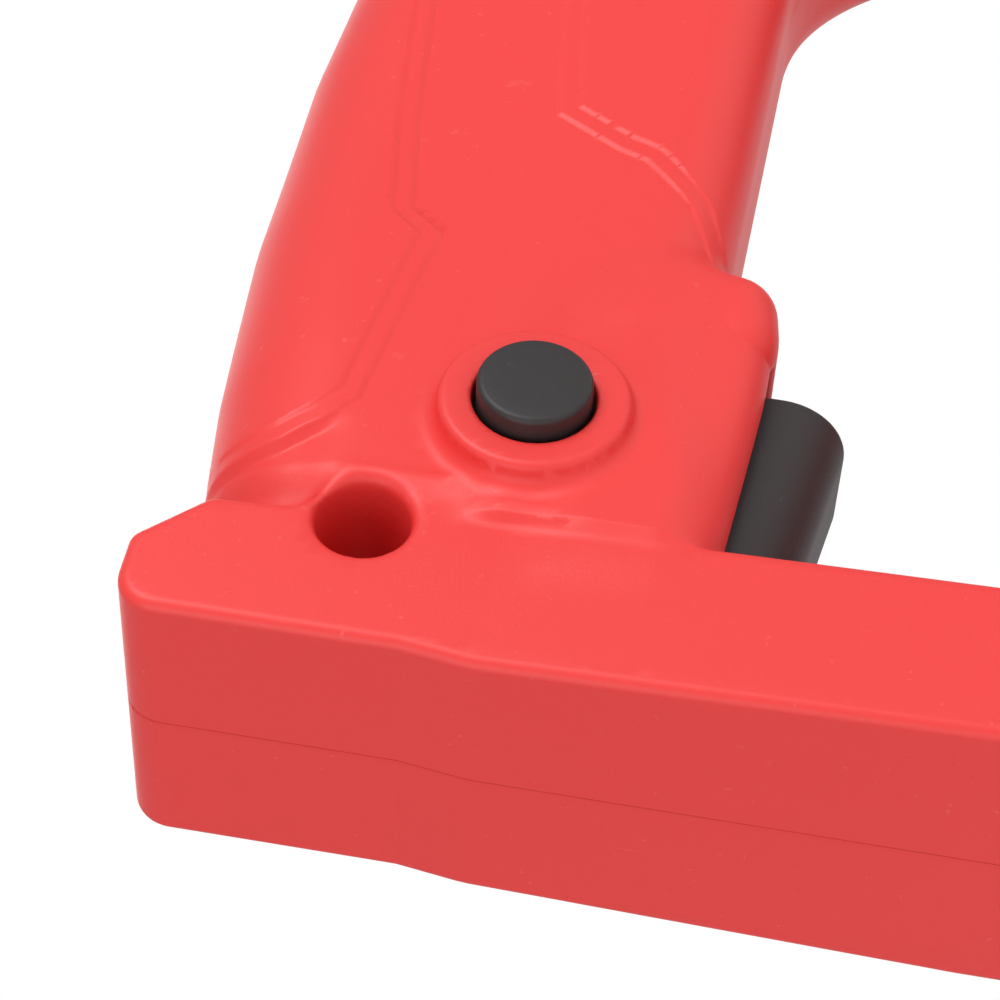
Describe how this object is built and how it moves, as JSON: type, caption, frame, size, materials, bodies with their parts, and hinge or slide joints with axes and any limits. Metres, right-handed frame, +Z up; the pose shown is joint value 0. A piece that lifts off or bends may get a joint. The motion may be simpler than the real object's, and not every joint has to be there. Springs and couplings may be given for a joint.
{
  "type": "staple gun",
  "caption": "Mains staple gun with a closed D handle, finger trigger and side lock button, a solenoid striker in the tower and a draw-out staple magazine.",
  "frame": {"origin": "On the flat underside of the magazine that the gun stands on, in the plane where the two shells meet, midway between the nose plate's front and the back of the rear column.", "axes": "+Z up from the nose to the head, +X from the tower to the rear of the handle, +Y to the side away from the lock button."},
  "size_m": [0.1879, 0.0452, 0.1947],
  "materials": {
    "shell_red": "moulded nylon, fine satin texture",
    "button_black": "moulded, fine spark texture",
    "latch_black": "moulded, satin",
    "magazine_steel": "black coated sheet, satin",
    "bright_steel": "brushed, zinc plated",
    "tool_steel": "ground and hardened",
    "spring_steel": "drawn wire",
    "screw_steel": "blackened zinc",
    "copper_winding": "enamelled wire",
    "bobbin_nylon": "natural nylon",
    "bumper_rubber": "moulded rubber",
    "switch_body": "moulded",
    "switch_red": "moulded",
    "board_green": "solder mask",
    "capacitor_sleeve": "shrink sleeve",
    "aluminium_fin": "extruded",
    "terminal_white": "moulded",
    "lead_sleeve": "flexible sleeve"
  },
  "bodies": {
    "body": {"left_housing": "shell_red", "right_housing": "shell_red", "housing_screws": "screw_steel", "trigger_pin": "bright_steel", "trigger_spring": "spring_steel", "lock_spring": "spring_steel", "microswitch": "switch_body", "solenoid_coil": "copper_winding", "coil_bobbin": "bobbin_nylon", "yoke": "bright_steel", "return_spring": "spring_steel", "top_bumper": "bumper_rubber", "bottom_bumper": "bumper_rubber", "nose_plate": "bright_steel", "nose_guide": "tool_steel", "nose_screws": "screw_steel", "magazine_channel": "magazine_steel", "control_board": "board_green", "smoothing_capacitor": "capacitor_sleeve", "thyristor": "switch_body", "heat_sink": "aluminium_fin", "terminal_block": "terminal_white", "coil_leads": "lead_sleeve", "switch_leads": "lead_sleeve", "mains_leads": "lead_sleeve", "cord_gland": "button_black"},
    "trigger": {"trigger": "button_black"},
    "lock_button": {"lock_button": "button_black"},
    "switch_button": {"switch_button": "switch_red"},
    "striker": {"plunger": "tool_steel", "driver_blade": "tool_steel"},
    "drawer": {"magazine_drawer": "bright_steel", "drawer_end": "latch_black", "pusher_rod": "tool_steel", "pusher_spring": "spring_steel", "latch_pin": "bright_steel", "latch_spring": "spring_steel"},
    "pusher": {"staple_pusher": "bright_steel"},
    "latch": {"drawer_latch": "latch_black"}
  },
  "joints": [
    {"name": "trigger_pull", "type": "hinge", "parent": "body", "child": "trigger", "pos_m": [-0.0626, 0, 0.145], "axis": [0, -1, 0], "range_deg": [0, 10], "stiffness_Nm_per_rad": 0.8, "springref_deg": -8.59, "deforming": ["trigger_spring"]},
    {"name": "switch_press", "type": "slide", "parent": "body", "child": "switch_button", "axis": [0, 0, 1], "range_m": [0, 0.00252]},
    {"name": "lock_press", "type": "slide", "parent": "body", "child": "lock_button", "axis": [0, 1, 0], "range_m": [0, 0.0025], "stiffness_N_per_m": 500, "springref_m": -0.004, "deforming": ["lock_spring"]},
    {"name": "striker_drive", "type": "slide", "parent": "body", "child": "striker", "axis": [0, 0, -1], "range_m": [0, 0.016], "stiffness_N_per_m": 600, "springref_m": -0.012, "deforming": ["return_spring"]},
    {"name": "drawer_slide", "type": "slide", "parent": "body", "child": "drawer", "axis": [1, 0, 0], "range_m": [0, 0.1]},
    {"name": "pusher_feed", "type": "slide", "parent": "drawer", "child": "pusher", "axis": [1, 0, 0], "range_m": [0, 0.095], "stiffness_N_per_m": 20, "springref_m": -0.1, "deforming": ["pusher_spring"]},
    {"name": "latch_pull", "type": "hinge", "parent": "drawer", "child": "latch", "pos_m": [0.089, 0, 0.0183], "axis": [0, -1, 0], "range_deg": [0, 14], "stiffness_Nm_per_rad": 0.05, "springref_deg": -17.19, "deforming": ["latch_spring"]}
  ],
  "couplings": [
    {"joint": "switch_press", "follows": "trigger_pull", "m_per_rad": 0.014327}
  ]
}
